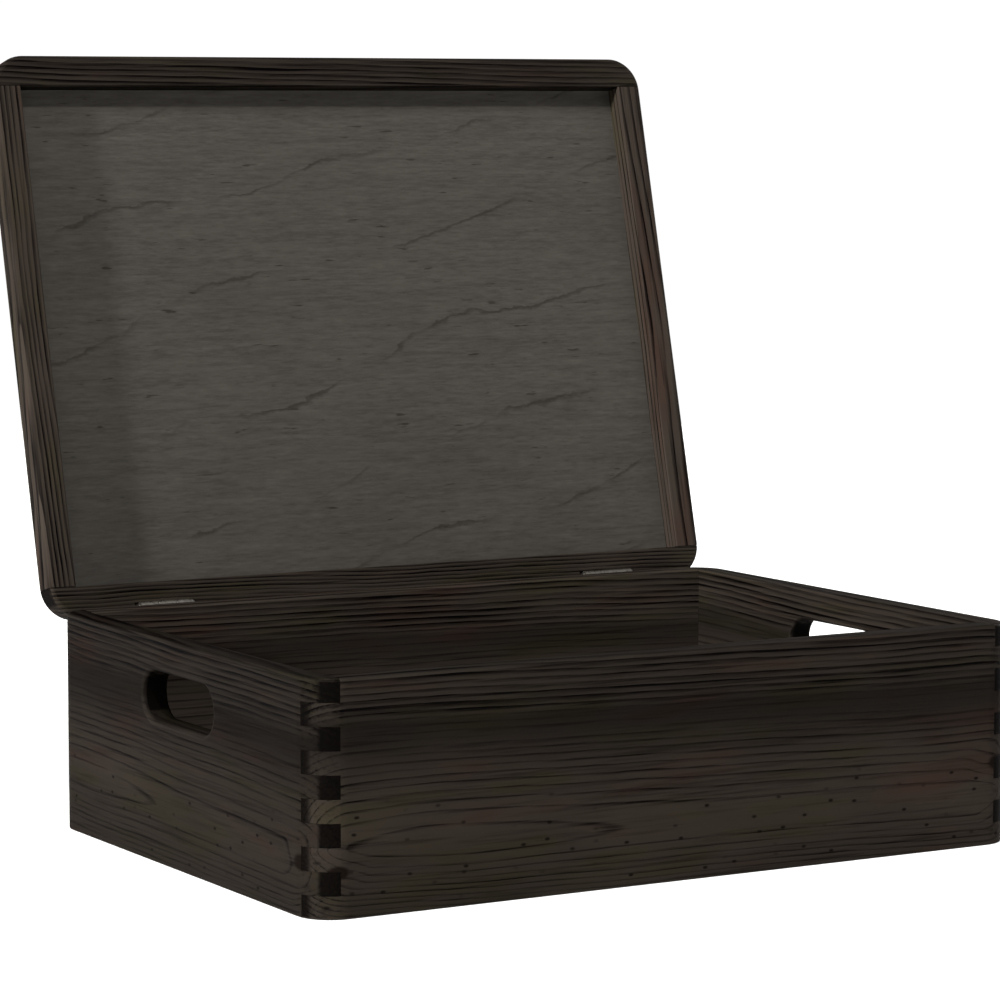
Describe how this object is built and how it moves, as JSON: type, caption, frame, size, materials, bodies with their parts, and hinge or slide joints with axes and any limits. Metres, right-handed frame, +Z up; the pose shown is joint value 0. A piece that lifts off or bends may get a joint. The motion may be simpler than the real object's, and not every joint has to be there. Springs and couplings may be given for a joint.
{
  "type": "wooden toy box",
  "caption": "Low rectangular wooden box with finger-jointed walls, handle slots in both ends and a framed plywood lid on rear hinges, shown open.",
  "frame": {"origin": "centre of the underside of the box, on the surface that it stands on", "axes": "+X along the front towards the right end, +Y towards the hinged back, +Z up; the lid is open at rest"},
  "size_m": [0.4, 0.3785, 0.3981],
  "materials": {
    "stained_pine": "black-brown water stain on planed pine, matt with a slight sheen, grain showing through",
    "stained_plywood": "grey-brown stain on birch plywood, matt, fine flecked grain",
    "hinge_nickel": "nickel-plated pressed steel, satin",
    "pin_steel": "plain drawn steel pin, satin",
    "screw_nickel": "nickel-plated cross-head screw, slightly glossy"
  },
  "bodies": {
    "box": {"front_wall": "stained_pine", "rear_wall": "stained_pine", "left_wall": "stained_pine", "right_wall": "stained_pine", "bottom_panel": "stained_plywood", "left_hinge_box_leaf": "hinge_nickel", "left_hinge_pin": "pin_steel", "left_hinge_box_screw_left": "screw_nickel", "left_hinge_box_screw_right": "screw_nickel", "right_hinge_box_leaf": "hinge_nickel", "right_hinge_pin": "pin_steel", "right_hinge_box_screw_left": "screw_nickel", "right_hinge_box_screw_right": "screw_nickel"},
    "lid": {"lid_front_rail": "stained_pine", "lid_rear_rail": "stained_pine", "lid_left_stile": "stained_pine", "lid_right_stile": "stained_pine", "lid_panel": "stained_plywood", "left_hinge_lid_leaf": "hinge_nickel", "left_hinge_lid_screw_left": "screw_nickel", "left_hinge_lid_screw_right": "screw_nickel", "right_hinge_lid_leaf": "hinge_nickel", "right_hinge_lid_screw_left": "screw_nickel", "right_hinge_lid_screw_right": "screw_nickel"}
  },
  "joints": [
    {"name": "lid_hinge", "type": "hinge", "parent": "box", "child": "lid", "pos_m": [0, 0.1466, 0.1107], "axis": [1, 0, 0], "range_deg": [0, 104]}
  ]
}
